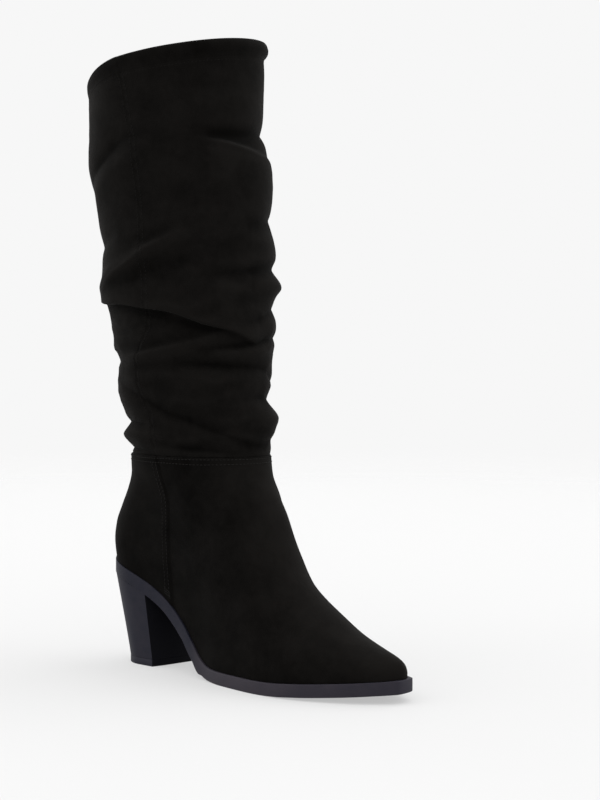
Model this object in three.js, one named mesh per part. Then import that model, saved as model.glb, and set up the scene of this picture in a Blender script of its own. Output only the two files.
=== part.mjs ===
// Slouch boot for the right foot: a pull-on boot with a snipped pointed toe, a block heel and a soft
// shaft that has slid down into folds.
// Millimetres. +X points to the toe, +Y to the inner side of the foot, +Z up.
// The origin is the middle of the heel's tread, on the floor.
import * as THREE from 'three';

// Sole
const soleLength = 255.7;
const seatReach = 32.2;
const seatHeight = 79.5;
const seatWidth = 58;
const ballWidth = 79.5;
const snipWidth = 13;
const toeSwing = 4.7;
const toeSpring = 6.8;
const soleEdge = 8.8;
const edgeBevel = 0.9;

// Heel
const treadLength = 40;
const treadWidth = 41.6;
const breastSlant = 0.19;
const heelInset = 0.5;
const tipThickness = 5;

// Upper
const wall = 1.8;
const feather = 1.2;
const toeInset = 1.5;
const toeRound = 9;
const quarterStep = 0.7;
const ankleTuck = 0.8;
const ankleHeight = 153.5;
const ankleLength = 112;
const ankleWidth = 84;
const ankleForward = 43.5;

// Shaft
const collarHeight = 439;
const collarLength = 135;
const collarWidth = 119.5;
const collarForward = 18.2;
const collarTiltForward = 6.6;
const collarTiltInward = 6.7;
const collarDip = 16;
const lapDepth = 6.5;
const bindingHeight = 11;
const bindingProud = 1.6;
const bindingFrontShare = 2;
const bindingBackShare = 0.65;

// Insole
const insoleThickness = 2.4;
const insoleShort = 12;
const insoleClear = 1.35;

// Clearance between pieces that touch, and the fineness of the facets
const gap = 0.35;
const soleStations = 52;
const vampColumns = 20;
const quarterColumns = 10;
const footRings = 12;
const shaftColumns = 40;
const shaftRings = 38;
const heelRings = 5;

const seatBack = -seatReach;
const toeTip = soleLength - seatReach;
const treadFront = treadLength / 2;
const degree = Math.PI / 180;

// Outline of the sole. at: share of its length from the back. seat, ball, snip: shares of half the
// seat's, the ball's and the snipped toe's width. swing: share of the toe's swing to the inner side.
const plan = [
  { at: 0.00, seat: 1.00, ball: 0.00, snip: 0, swing: 0.00 },
  { at: 0.12, seat: 0.98, ball: 0.00, snip: 0, swing: 0.00 },
  { at: 0.24, seat: 0.54, ball: 0.25, snip: 0, swing: -0.16 },
  { at: 0.34, seat: 0.20, ball: 0.50, snip: 0, swing: -0.43 },
  { at: 0.44, seat: 0.00, ball: 0.74, snip: 0, swing: -0.64 },
  { at: 0.54, seat: 0.00, ball: 0.90, snip: 0, swing: -0.37 },
  { at: 0.65, seat: 0.00, ball: 1.00, snip: 0, swing: -0.05 },
  { at: 0.71, seat: 0.00, ball: 1.00, snip: 0, swing: 0.08 },
  { at: 0.76, seat: 0.00, ball: 0.95, snip: 0, swing: 0.19 },
  { at: 0.85, seat: 0.00, ball: 0.77, snip: 0, swing: 0.53 },
  { at: 0.93, seat: 0.00, ball: 0.50, snip: 0, swing: 0.70 },
  { at: 0.97, seat: 0.00, ball: 0.24, snip: 0.5, swing: 0.82 },
  { at: 1.00, seat: 0.00, ball: 0.00, snip: 1, swing: 1.00 },
];

// Top of the sole. rise: share of the climb from the forefoot to the seat. spring: share of the toe
// spring.
const profile = [
  { at: -0.01, rise: 1.000, spring: 0.00 },
  { at: 0.03, rise: 0.950, spring: 0.00 },
  { at: 0.12, rise: 0.843, spring: 0.00 },
  { at: 0.20, rise: 0.720, spring: 0.00 },
  { at: 0.258, rise: 0.598, spring: 0.00 },
  { at: 0.329, rise: 0.382, spring: 0.00 },
  { at: 0.373, rise: 0.206, spring: 0.00 },
  { at: 0.410, rise: 0.066, spring: 0.00 },
  { at: 0.450, rise: 0.010, spring: 0.00 },
  { at: 0.50, rise: 0.000, spring: 0.00 },
  { at: 0.65, rise: 0.000, spring: 0.00 },
  { at: 0.76, rise: 0.000, spring: 0.24 },
  { at: 0.85, rise: 0.000, spring: 0.50 },
  { at: 0.93, rise: 0.000, spring: 0.75 },
  { at: 1.01, rise: 0.000, spring: 1.00 },
];

// Front line of the upper. up: share of the height from the toe to the ankle seam. out: share of the
// reach from the ankle's front to the toe. Past 1 the line runs on over the opening, and only rounds
// the sections under it.
const frontLine = [
  { up: 0.000, out: 1.000 },
  { up: 0.048, out: 0.988 },
  { up: 0.090, out: 0.925 },
  { up: 0.125, out: 0.796 },
  { up: 0.182, out: 0.635 },
  { up: 0.269, out: 0.484 },
  { up: 0.355, out: 0.357 },
  { up: 0.442, out: 0.250 },
  { up: 0.576, out: 0.207 },
  { up: 0.682, out: 0.166 },
  { up: 0.797, out: 0.090 },
  { up: 0.903, out: 0.020 },
  { up: 1.000, out: 0.000 },
  { up: 1.152, out: -0.037 },
  { up: 1.440, out: -0.137 },
  { up: 2.045, out: -0.303 },
  { up: 2.909, out: -0.676 },
  { up: 3.648, out: -1.340 },
];

// Back line of the upper. up: share of the height from the seat to the ankle seam. out: share of the
// setback of the seat behind the ankle.
const backLine = [
  { up: 0.000, out: 1.000 },
  { up: 0.185, out: 1.113 },
  { up: 0.333, out: 1.005 },
  { up: 0.481, out: 0.706 },
  { up: 0.666, out: 0.318 },
  { up: 0.851, out: 0.042 },
  { up: 1.000, out: 0.000 },
];

// Side seam, where the quarter laps over the vamp. up: share of the height from the floor to the
// ankle seam. at: share of the ankle's length from its back.
const sideSeam = [
  { up: 0.280, at: 0.467 },
  { up: 0.430, at: 0.483 },
  { up: 0.570, at: 0.505 },
  { up: 0.710, at: 0.523 },
  { up: 0.860, at: 0.492 },
  { up: 1.000, at: 0.480 },
];

// Run of the shaft from the ankle seam to the collar. up: share of its height. grow: share of the
// change from the ankle's length to the collar's. back: share of the lean from the ankle's place to
// the collar's. wide: the same share for the width.
const shaftRun = [
  { up: 0.00, grow: 0.00, back: 0.00, wide: 0.00 },
  { up: 0.042, grow: 0.00, back: 0.021, wide: 0.12 },
  { up: 0.164, grow: 0.05, back: 0.115, wide: 0.35 },
  { up: 0.307, grow: 0.38, back: 0.303, wide: 0.62 },
  { up: 0.439, grow: 0.59, back: 0.481, wide: 0.80 },
  { up: 0.582, grow: 0.71, back: 0.627, wide: 0.88 },
  { up: 0.755, grow: 0.81, back: 0.878, wide: 0.94 },
  { up: 0.929, grow: 0.95, back: 1.00, wide: 0.99 },
  { up: 1.00, grow: 1.00, back: 1.00, wide: 1.00 },
];

// Folds of the shaft. from, to: the angles where a fold starts and ends, in degrees; 0 is the front,
// -90 the outer side, 90 the inner side. start, middle, end: its level there, as shares of the
// shaft's height. out: how far it stands out, or in where it is less than 0, as a share of the half
// width. above, below: its height over and under its crest, as shares of the shaft's height. The
// facets are too coarse for the sharpest creases, so none is drawn lower than finestFold.
const finestFold = 0.018;
const folds = [
  { from: -200, to: -95, start: 0.796, middle: 0.786, end: 0.766, out: 0.045, above: 0.075, below: 0.075 },
  { from: -145, to: -66, start: 0.710, middle: 0.760, end: 0.811, out: -0.030, above: 0.022, below: 0.020 },
  { from: -135, to: -70, start: 0.674, middle: 0.710, end: 0.745, out: 0.020, above: 0.030, below: 0.045 },
  { from: -42, to: 92, start: 0.768, middle: 0.772, end: 0.793, out: -0.088, above: 0.030, below: 0.017 },
  { from: -46, to: 70, start: 0.776, middle: 0.719, end: 0.684, out: 0.046, above: 0.010, below: 0.050 },
  { from: -10, to: 110, start: 0.643, middle: 0.648, end: 0.664, out: 0.050, above: 0.075, below: 0.060 },
  { from: -10, to: 85, start: 0.552, middle: 0.564, end: 0.577, out: -0.040, above: 0.018, below: 0.020 },
  { from: -15, to: 95, start: 0.490, middle: 0.501, end: 0.506, out: 0.048, above: 0.034, below: 0.032 },
  { from: -190, to: -100, start: 0.567, middle: 0.562, end: 0.557, out: -0.050, above: 0.030, below: 0.026 },
  { from: -150, to: -40, start: 0.444, middle: 0.490, end: 0.541, out: 0.036, above: 0.020, below: 0.018 },
  { from: -110, to: -38, start: 0.434, middle: 0.462, end: 0.490, out: -0.030, above: 0.022, below: 0.034 },
  { from: -30, to: 96, start: 0.460, middle: 0.468, end: 0.475, out: 0.030, above: 0.022, below: 0.014 },
  { from: -45, to: 86, start: 0.441, middle: 0.444, end: 0.448, out: -0.034, above: 0.014, below: 0.016 },
  { from: -2, to: 96, start: 0.414, middle: 0.409, end: 0.399, out: 0.120, above: 0.028, below: 0.028 },
  { from: -20, to: 100, start: 0.309, middle: 0.354, end: 0.373, out: -0.042, above: 0.012, below: 0.016 },
  { from: 5, to: 100, start: 0.322, middle: 0.312, end: 0.307, out: 0.050, above: 0.032, below: 0.034 },
  { from: -200, to: 12, start: 0.426, middle: 0.390, end: 0.254, out: 0.075, above: 0.085, below: 0.009 },
  { from: -190, to: 10, start: 0.388, middle: 0.358, end: 0.238, out: -0.024, above: 0.010, below: 0.016 },
  { from: -200, to: -104, start: 0.305, middle: 0.293, end: 0.284, out: 0.012, above: 0.030, below: 0.012 },
  { from: -200, to: -98, start: 0.252, middle: 0.248, end: 0.246, out: -0.046, above: 0.026, below: 0.016 },
  { from: -128, to: -22, start: 0.256, middle: 0.261, end: 0.303, out: 0.044, above: 0.010, below: 0.026 },
  { from: -55, to: 62, start: 0.254, middle: 0.271, end: 0.292, out: -0.055, above: 0.010, below: 0.012 },
  { from: -50, to: 50, start: 0.244, middle: 0.256, end: 0.269, out: 0.030, above: 0.014, below: 0.018 },
  { from: -74, to: 66, start: 0.223, middle: 0.215, end: 0.144, out: -0.036, above: 0.012, below: 0.016 },
  { from: -112, to: 20, start: 0.213, middle: 0.231, end: 0.197, out: -0.020, above: 0.015, below: 0.022 },
  { from: -200, to: -92, start: 0.174, middle: 0.164, end: 0.159, out: 0.078, above: 0.055, below: 0.052 },
  { from: -130, to: 40, start: 0.200, middle: 0.067, end: 0.001, out: -0.076, above: 0.024, below: 0.018 },
  { from: -20, to: 96, start: 0.134, middle: 0.133, end: 0.131, out: -0.086, above: 0.028, below: 0.018 },
  { from: -205, to: -92, start: 0.089, middle: 0.087, end: 0.085, out: -0.065, above: 0.012, below: 0.012 },
  { from: -12, to: 98, start: 0.083, middle: 0.083, end: 0.083, out: 0.100, above: 0.026, below: 0.034 },
  { from: -218, to: -74, start: 0.048, middle: 0.049, end: 0.056, out: 0.090, above: 0.020, below: 0.020 },
  { from: -58, to: 40, start: 0.077, middle: 0.044, end: 0.054, out: 0.036, above: 0.014, below: 0.014 },
  { from: -5, to: 92, start: 0.034, middle: 0.034, end: 0.032, out: -0.030, above: 0.013, below: 0.014 },
  { from: -105, to: 5, start: 0.054, middle: 0.015, end: 0.006, out: -0.044, above: 0.016, below: 0.012 },
  { from: -205, to: -95, start: 0.013, middle: 0.013, end: 0.015, out: -0.060, above: 0.010, below: 0.010 },
  { from: 45, to: 170, start: 0.613, middle: 0.664, end: 0.735, out: 0.050, above: 0.036, below: 0.022 },
  { from: 60, to: 185, start: 0.577, middle: 0.613, end: 0.653, out: -0.045, above: 0.024, below: 0.028 },
  { from: 50, to: 190, start: 0.317, middle: 0.348, end: 0.419, out: 0.075, above: 0.065, below: 0.014 },
  { from: 70, to: 185, start: 0.256, middle: 0.276, end: 0.297, out: 0.038, above: 0.020, below: 0.026 },
  { from: 55, to: 175, start: 0.210, middle: 0.190, end: 0.205, out: -0.055, above: 0.022, below: 0.022 },
  { from: 62, to: 190, start: 0.134, middle: 0.144, end: 0.159, out: 0.060, above: 0.032, below: 0.020 },
  { from: 75, to: 190, start: 0.083, middle: 0.088, end: 0.093, out: -0.050, above: 0.015, below: 0.015 },
];

const clamp = (value, low, high) => Math.min(high, Math.max(low, value));
const mix = (a, b, share) => a + (b - a) * share;

// A smooth curve through the rows of a table that never swings past them.
function curve(rows, across, up) {
  const x = rows.map((row) => row[across]);
  const y = rows.map((row) => row[up]);
  const last = x.length - 1;
  const width = x.slice(1).map((value, i) => value - x[i]);
  const slope = width.map((value, i) => (y[i + 1] - y[i]) / value);
  const tangent = x.map((value, i) => {
    if (i === 0) return slope[0];
    if (i === last) return slope[last - 1];
    if (slope[i - 1] * slope[i] <= 0) return 0;
    const before = width[i] * 2 + width[i - 1];
    const after = width[i] + width[i - 1] * 2;
    return (before + after) / (before / slope[i - 1] + after / slope[i]);
  });
  return (value) => {
    const place = clamp(value, x[0], x[last]);
    let i = 0;
    while (i < last - 1 && place > x[i + 1]) i += 1;
    const t = (place - x[i]) / width[i];
    const ease = t * t * (3 - 2 * t);
    const leave = t * (1 - t) * (1 - t) * width[i] * tangent[i];
    const arrive = t * t * (t - 1) * width[i] * tangent[i + 1];
    return mix(y[i], y[i + 1], ease) + leave + arrive;
  };
}

// Share of the full width that a rounded end has at a share of its depth.
function rounding(share, power) {
  return (1 - (1 - clamp(share, 0, 1)) ** power) ** (1 / power);
}

const planSeat = curve(plan, 'at', 'seat');
const planBall = curve(plan, 'at', 'ball');
const planSnip = curve(plan, 'at', 'snip');
const planSwing = curve(plan, 'at', 'swing');
const profileRise = curve(profile, 'at', 'rise');
const profileSpring = curve(profile, 'at', 'spring');

const along = (x) => (x - seatBack) / soleLength;

function soleHalf(x) {
  const at = along(x);
  return (planSeat(at) * seatWidth + planBall(at) * ballWidth + planSnip(at) * snipWidth) / 2;
}

function soleMiddle(x) {
  return planSwing(along(x)) * toeSwing;
}

function soleTop(x) {
  const at = along(x);
  return soleEdge + (seatHeight - soleEdge) * profileRise(at) + toeSpring * profileSpring(at);
}

// Length of the sole's slope over a step of 1 along x.
function soleSlant(x) {
  const step = 0.5;
  return Math.hypot(1, (soleTop(x + step) - soleTop(x - step)) / (2 * step));
}

function soleBottom(x) {
  return soleTop(x) - soleEdge * soleSlant(x);
}

// Height that a piece on the sole keeps to.
function soleRest(x) {
  return soleTop(x) + gap * soleSlant(x);
}

// Half width of the sole with its rounded seat, taken in by an inset.
function outlineHalf(x, inset) {
  const back = seatBack + inset;
  return (soleHalf(x) - inset) * rounding((x - back) / (seatWidth / 2 - inset), 2);
}

// One closed loop from stations that run from the front to the back point: the outer side first, and
// then the inner side forward again.
function pairedLoop(stations) {
  const outer = stations.map((s) => new THREE.Vector3(s.x, s.middle - s.half, s.z));
  const inner = stations.slice(0, -1).map((s) => new THREE.Vector3(s.x, s.middle + s.half, s.z));
  return [...outer, ...inner.reverse()];
}

// Faces between loops of equal count, each lying inside or above the one before. A wrapped skin
// joins the last loop to the first; any other has both its end loops closed across their pairs.
function skin(loops, wrapped) {
  const count = loops[0].length;
  const faces = [];
  const bands = wrapped ? loops.length : loops.length - 1;
  for (let band = 0; band < bands; band += 1) {
    const low = band * count;
    const high = ((band + 1) % loops.length) * count;
    for (let i = 0; i < count; i += 1) {
      const next = (i + 1) % count;
      faces.push(low + i, high + i, high + next, low + i, high + next, low + next);
    }
  }
  if (!wrapped) {
    const top = (loops.length - 1) * count;
    for (let i = 0; i < (count - 1) / 2; i += 1) {
      const across = count - 1 - i;
      faces.push(i, i + 1, across, top + i, top + across, top + i + 1);
      if (across - 1 > i + 1) {
        faces.push(i + 1, across - 1, across, top + i + 1, top + across, top + across - 1);
      }
    }
  }
  const geometry = new THREE.BufferGeometry().setFromPoints(loops.flat());
  geometry.setIndex(faces);
  geometry.computeVertexNormals();
  return geometry;
}

// Finishes
const suede = { color: 0x12110f, roughness: 0.95, metalness: 0 };
const edgeInk = { color: 0x28282f, roughness: 0.42, metalness: 0 };
const rubber = { color: 0x1b1b1e, roughness: 0.7, metalness: 0 };
const lining = { color: 0x3a332c, roughness: 0.8, metalness: 0 };

const boot = new THREE.Group();

function addPiece(name, geometry, finish) {
  const piece = new THREE.Mesh(geometry, new THREE.MeshStandardMaterial(finish));
  piece.name = name;
  boot.add(piece);
}

// Places along the sole, closer together at its two ends. Pieces that lie on it share them.
function soleX(i, front, back) {
  return mix(front, back, (1 - Math.cos(Math.PI * i / soleStations)) / 2);
}

// Outsole: one slab under the whole foot, bevelled along its lower edge.
function outsoleGeometry() {
  const layer = (inset, height) => {
    const stations = [];
    for (let i = 0; i <= soleStations; i += 1) {
      const x = soleX(i, toeTip - inset, seatBack + inset);
      stations.push({ x, middle: soleMiddle(x), half: outlineHalf(x, inset), z: height(x) });
    }
    return pairedLoop(stations);
  };
  return skin([
    layer(edgeBevel, soleBottom),
    layer(0, (x) => soleBottom(x) + edgeBevel),
    layer(0, soleTop),
  ], false);
}

// Insole: a thin board inside the upper, over the outsole.
function insoleGeometry() {
  const inset = feather + wall + insoleClear;
  const front = toeTip - insoleShort;
  const back = seatBack + inset;
  const places = [];
  for (let i = 0; i <= soleStations; i += 1) {
    const x = soleX(i, toeTip, seatBack);
    if (x < front - gap && x > back + gap) places.push(x);
  }
  const layer = (lift) => pairedLoop([front - gap, ...places, back].map((x) => {
    const half = outlineHalf(x, inset) * rounding((front - x) / toeRound, 3);
    return { x, middle: soleMiddle(x), half, z: soleRest(x) + lift };
  }));
  return skin([layer(0), layer(insoleThickness)], false);
}

// Heel: a block with a flat breast that slants to the inner side, narrowing from the seat to the
// tread. share: 0 at the tread, 1 under the sole.
function heelLayer(share, height) {
  const back = mix(-treadLength / 2, seatBack + heelInset, share ** 1.1);
  const halfAt = (x) => {
    const tread = treadWidth / 2 * rounding((x - back) / (treadWidth / 2), 2);
    const seat = (soleHalf(x) - heelInset) * rounding((x - back) / (seatWidth / 2), 2);
    return mix(tread, seat, share);
  };
  const sideStations = soleStations / 2;
  const place = (i, side) => {
    const along = 1 - Math.cos(Math.PI / 2 * (1 - i / sideStations));
    const station = mix(back, treadFront, along);
    const x = station + side * breastSlant * along * halfAt(station);
    return new THREE.Vector3(x, i === sideStations ? 0 : side * halfAt(x), height(x));
  };
  const loop = [];
  for (let i = 0; i <= sideStations; i += 1) loop.push(place(i, -1));
  for (let i = sideStations - 1; i >= 0; i -= 1) loop.push(place(i, 1));
  return loop;
}

function heelGeometry() {
  const loops = [];
  const floor = tipThickness + gap;
  for (let ring = 0; ring <= heelRings; ring += 1) {
    const share = ring / heelRings;
    loops.push(heelLayer(share, (x) => mix(floor, soleBottom(x) - gap, share)));
  }
  return skin(loops, false);
}

function heelTipGeometry() {
  return skin([heelLayer(0, () => 0), heelLayer(0, () => tipThickness)], false);
}

const frontOut = curve(frontLine, 'up', 'out');
const frontUp = curve([...frontLine].reverse(), 'out', 'up');
const backOut = curve(backLine, 'up', 'out');
const seamAt = curve(sideSeam, 'up', 'at');
const ankleBack = ankleForward - ankleLength / 2;
const ankleFront = ankleForward + ankleLength / 2;
const upperBack = seatBack + feather;
const upperToe = toeTip - toeInset;
const upperSeat = soleRest(upperBack);
const upperSole = soleRest(upperToe);

// A point of the upper's outer face. level: 0 at the sole, 1 at the ankle seam. angle: 0 at the
// front line, pi at the back line. side: -1 on the outer side, 1 on the inner side.
function footPoint(level, angle, side) {
  const backX = mix(ankleBack, upperBack, backOut(level));
  const frontX = mix(ankleFront, upperToe, frontOut(level));
  const backZ = mix(upperSeat, ankleHeight, level);
  const frontZ = mix(upperSole, ankleHeight, level);
  const share = (1 + Math.cos(angle)) / 2;
  const x = mix(backX, frontX, share);
  const floor = soleRest(x);
  const rise = mix(backZ - soleRest(backX), frontZ - soleRest(frontX), share);
  const z = mix(floor + rise, mix(backZ, frontZ, share), level ** 1.3);
  const ridge = mix(upperSole, ankleHeight, frontUp((x - ankleFront) / (upperToe - ankleFront)));
  const climb = clamp((z - floor) / Math.max(ridge - floor, 0.001), 0, 1);
  const arch = Math.sqrt(1 - climb ** 2.1) * (1 + 0.05 * Math.sin(Math.PI * climb));
  const nose = rounding((upperToe - x) / toeRound, 2);
  const tail = rounding((x - backX) / (seatWidth / 2), 2);
  const section = (soleHalf(x) - feather) * arch * nose * tail;
  const opening = ankleWidth / 2 * Math.sin(angle);
  const blend = level ** 1.4;
  const half = mix(section, opening, blend);
  return new THREE.Vector3(x, soleMiddle(x) * (1 - blend) + side * half, z);
}

// The same point pushed along the face's normal. flat keeps a rim level, and the lower rim follows
// the sole.
function footOffset(level, angle, side, distance, flat) {
  const point = footPoint(level, angle, side);
  const step = 0.01;
  const low = Math.max(level - step, 0);
  const high = Math.min(level + step, 1);
  const upward = footPoint(high, angle, side).sub(footPoint(low, angle, side));
  const turn = (amount) => {
    const turned = angle + amount;
    const over = turned < 0 || turned > Math.PI;
    const folded = turned < 0 ? -turned : 2 * Math.PI - turned;
    return over ? footPoint(level, folded, -side) : footPoint(level, turned, side);
  };
  const around = turn(step).sub(turn(-step)).multiplyScalar(-side);
  const normal = new THREE.Vector3().crossVectors(upward, around);
  if (flat) normal.z = 0;
  point.addScaledVector(normal.normalize(), distance);
  if (level === 0) point.z = soleRest(point.x);
  return point;
}

// Angle of the side seam on a level, where the quarter's edge steps out over the vamp.
function seamAngle(level) {
  const seamX = ankleBack + ankleLength * seamAt(level);
  const backX = mix(ankleBack, upperBack, backOut(level));
  const frontX = mix(ankleFront, upperToe, frontOut(level));
  return Math.acos(2 * (seamX - backX) / (frontX - backX) - 1);
}

// One ring of the upper: vamp columns to the seam and quarter columns behind it, on both sides.
function footRing(level, distance, step) {
  const flat = level === 0 || level === 1;
  const seam = seamAngle(level);
  const halfStep = quarterStep / ankleLength;
  const columns = [];
  for (let i = 0; i < vampColumns; i += 1) {
    columns.push({ angle: (seam - halfStep) * i / (vampColumns - 1), lift: 0 });
  }
  for (let i = 0; i < quarterColumns; i += 1) {
    columns.push({ angle: mix(seam + halfStep, Math.PI, i / (quarterColumns - 1)), lift: step });
  }
  const outer = columns.map((c) => footOffset(level, c.angle, -1, distance + c.lift, flat));
  const inner = columns.slice(1, -1).map((c) => footOffset(level, c.angle, 1, distance + c.lift, flat));
  return [...outer, ...inner.reverse()];
}

// Upper of the foot: vamp and quarters in one wall, open at the ankle and over the sole.
function footGeometry() {
  const loops = [];
  for (let ring = 0; ring <= footRings; ring += 1) {
    loops.push(footRing(ring / footRings, 0, quarterStep));
  }
  for (let ring = footRings; ring >= 0; ring -= 1) {
    loops.push(footRing(ring / footRings, -wall, 0));
  }
  return skin(loops, true);
}

const runGrow = curve(shaftRun, 'up', 'grow');
const runBack = curve(shaftRun, 'up', 'back');
const runWide = curve(shaftRun, 'up', 'wide');

// How far the folds move the shaft's wall out, at a level and an angle in degrees.
function foldDepth(level, degrees) {
  let depth = 0;
  for (const fold of folds) {
    for (const turned of [degrees, degrees - 360, degrees + 360]) {
      const q = (turned - fold.from) / (fold.to - fold.from);
      if (q > 0 && q < 1) {
        const first = fold.start * (1 - q) * (1 - 2 * q);
        const crest = first + 4 * fold.middle * q * (1 - q) - fold.end * q * (1 - 2 * q);
        const away = level - crest;
        const reach = Math.max(away > 0 ? fold.above : fold.below, finestFold);
        const fade = 1 - Math.abs(2 * q - 1) ** 2.5;
        depth += fold.out * fade * Math.exp(-((away / reach) ** 2));
      }
    }
  }
  return depth;
}

// A point of the shaft's outer face. level: 0 at the ankle seam, 1 at the collar's edge.
function shaftPoint(level, angle, distance) {
  const length = mix(ankleLength, collarLength, runGrow(level)) / 2;
  const width = mix(ankleWidth, collarWidth, runWide(level)) / 2;
  const middle = mix(ankleForward, collarForward, runBack(level));
  const tilt = collarTiltForward * Math.cos(angle) + collarTiltInward * Math.sin(angle);
  const dip = collarDip * Math.max(0, -Math.cos(angle)) ** 1.5;
  const calm = clamp(level / 0.014, 0, 1);
  const out = distance + mix(-ankleTuck, width * foldDepth(level, angle / degree), calm);
  const x = middle + (length + out) * Math.cos(angle);
  const y = (width + out) * Math.sin(angle);
  return new THREE.Vector3(x, y, mix(ankleHeight, collarHeight + tilt - dip, level));
}

function shaftLoop(level, distance) {
  const loop = [];
  for (let i = 0; i < shaftColumns; i += 1) {
    loop.push(shaftPoint(level, -2 * Math.PI * i / shaftColumns, distance));
  }
  return loop;
}

// A loop of the shaft's lap, which lies along the inside of the upper below the ankle seam.
function lapLoop(distance) {
  const level = 1 - lapDepth / (ankleHeight - upperSeat);
  const loop = [];
  for (let i = 0; i < shaftColumns; i += 1) {
    const turn = 2 * Math.PI * i / shaftColumns;
    const side = turn < Math.PI ? -1 : 1;
    const angle = turn < Math.PI ? turn : 2 * Math.PI - turn;
    loop.push(footOffset(level, angle, side, distance, false));
  }
  return loop;
}

const shaftHeight = collarHeight - ankleHeight;
const bindingLevel = 1 - bindingHeight / shaftHeight;

// Shaft: one soft tube with its folds, lapped inside the upper at the ankle seam.
function shaftGeometry() {
  const lap = wall + gap;
  const top = bindingLevel - gap / shaftHeight;
  const low = gap / shaftHeight;
  const levels = [];
  for (let ring = 0; ring <= shaftRings; ring += 1) {
    levels.push(mix(low, top, (ring / shaftRings) ** 1.35));
  }
  const hem = lap + 2 * gap;
  const outer = [lapLoop(-hem), shaftLoop(0, -lap), shaftLoop(low, -lap)];
  const inner = [shaftLoop(low, -lap - wall), shaftLoop(0, -lap - wall), lapLoop(-hem - wall)];
  const face = levels.map((level) => shaftLoop(level, 0));
  const back = levels.slice(2).reverse().map((level) => shaftLoop(level, -wall));
  return skin([...outer, ...face, ...back, ...inner], true);
}

// Binding: the turned edge of the collar, a little thicker than the wall and rounded on top. It is
// thickest at the front of its inner side.
function bindingGeometry() {
  const step = bindingProud / shaftHeight;
  const loop = (level, share) => {
    const points = [];
    for (let i = 0; i < shaftColumns; i += 1) {
      const angle = -2 * Math.PI * i / shaftColumns;
      const front = ((1 + Math.cos(angle - 40 * degree)) / 2) ** 2;
      const proud = bindingProud * mix(bindingBackShare, bindingFrontShare, front);
      points.push(shaftPoint(level, angle, mix(-wall, proud, share)));
    }
    return points;
  };
  return skin([
    shaftLoop(bindingLevel, 0),
    loop(mix(bindingLevel, 1, 0.35), 0.9),
    loop(1 - 2 * step, 1),
    loop(1 - step / 2, 0.85),
    loop(1, 0.45),
    loop(1 - step, 0),
    shaftLoop(bindingLevel, -wall),
  ], true);
}

addPiece('outsole', outsoleGeometry(), edgeInk);
addPiece('heel', heelGeometry(), edgeInk);
addPiece('heel_tip', heelTipGeometry(), rubber);
addPiece('insole', insoleGeometry(), lining);
addPiece('foot_upper', footGeometry(), suede);
addPiece('shaft', shaftGeometry(), suede);
addPiece('collar_binding', bindingGeometry(), suede);

export default boot;
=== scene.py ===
# %% [markdown]
# # A slouch boot in black suede
# The boot is a pull-on with a pointed, snipped toe and a block heel. Its shaft is a tube of soft suede
# that has slid down into folds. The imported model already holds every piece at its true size. This
# lesson dresses it: each piece is drawn again, much finer, by the same rules as the model, and gets a
# finish made of nodes.

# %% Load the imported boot
import math

import bpy
import numpy as np
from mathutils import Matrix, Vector, noise


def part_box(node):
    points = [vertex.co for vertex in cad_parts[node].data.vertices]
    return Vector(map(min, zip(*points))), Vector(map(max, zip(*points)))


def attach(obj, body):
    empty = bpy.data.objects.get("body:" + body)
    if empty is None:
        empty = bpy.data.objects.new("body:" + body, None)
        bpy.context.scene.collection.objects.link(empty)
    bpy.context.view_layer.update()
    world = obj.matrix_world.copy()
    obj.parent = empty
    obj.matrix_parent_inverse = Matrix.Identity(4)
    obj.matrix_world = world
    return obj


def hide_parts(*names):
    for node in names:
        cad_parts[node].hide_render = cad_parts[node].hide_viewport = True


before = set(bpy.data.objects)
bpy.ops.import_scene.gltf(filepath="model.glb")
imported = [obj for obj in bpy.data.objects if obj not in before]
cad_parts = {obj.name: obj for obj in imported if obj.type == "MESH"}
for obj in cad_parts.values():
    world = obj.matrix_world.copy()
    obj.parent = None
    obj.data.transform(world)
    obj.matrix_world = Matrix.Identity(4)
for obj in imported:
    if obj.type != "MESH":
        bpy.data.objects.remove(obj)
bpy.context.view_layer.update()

MM = 0.001

# %% [markdown]
# A boot is drawn from few measures: the sole's length and widths, the heel, the height of the ankle
# seam and the size of the collar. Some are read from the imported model's own pieces, so that the dressed
# boot can't drift away from it. The rest are written in millimetres.

# %% Measures
sole_low, sole_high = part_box("outsole")
tread_low, tread_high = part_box("heel_tip")
seat_back, toe_tip = sole_low.x, sole_high.x
sole_length = toe_tip - seat_back
tread_length = -2 * tread_low.x
tread_width = tread_high.y - tread_low.y
tip_thickness = tread_high.z - tread_low.z
ankle_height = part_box("foot_upper")[1].z

seat_height, seat_width = 79.5 * MM, 58 * MM
ball_width, snip_width = 79.5 * MM, 13 * MM
toe_swing, toe_spring, sole_edge = 4.7 * MM, 6.8 * MM, 8.8 * MM
breast_slant, heel_inset = 0.19, 0.15 * MM
wall, feather, toe_inset, toe_round = 1.8 * MM, 1.2 * MM, 1.5 * MM, 9 * MM
quarter_step = 0.7 * MM
ankle_length, ankle_width, ankle_forward = 112 * MM, 84 * MM, 43.5 * MM
collar_height, collar_length, collar_width = 439 * MM, 135 * MM, 119.5 * MM
collar_forward, collar_dip = 18.2 * MM, 16 * MM
tilt_forward, tilt_inward = 6.6 * MM, 6.7 * MM
lap_depth = 6.5 * MM
binding_height, binding_proud = 11 * MM, 1.6 * MM
gap = 0.35 * MM

ankle_back = ankle_forward - ankle_length / 2
ankle_front = ankle_forward + ankle_length / 2
shaft_height = collar_height - ankle_height
print("sole, mm:", round(sole_length / MM, 1))
print("shaft above the ankle seam, mm:", round(shaft_height / MM, 1))

# %% [markdown]
# Every curve of the boot is a short table: one row for each place where the shape turns. The numbers in
# it are shares of the measures above. A curve through the rows must not swing past them, or the sole
# would get waves. A monotone cubic does that.

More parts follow.
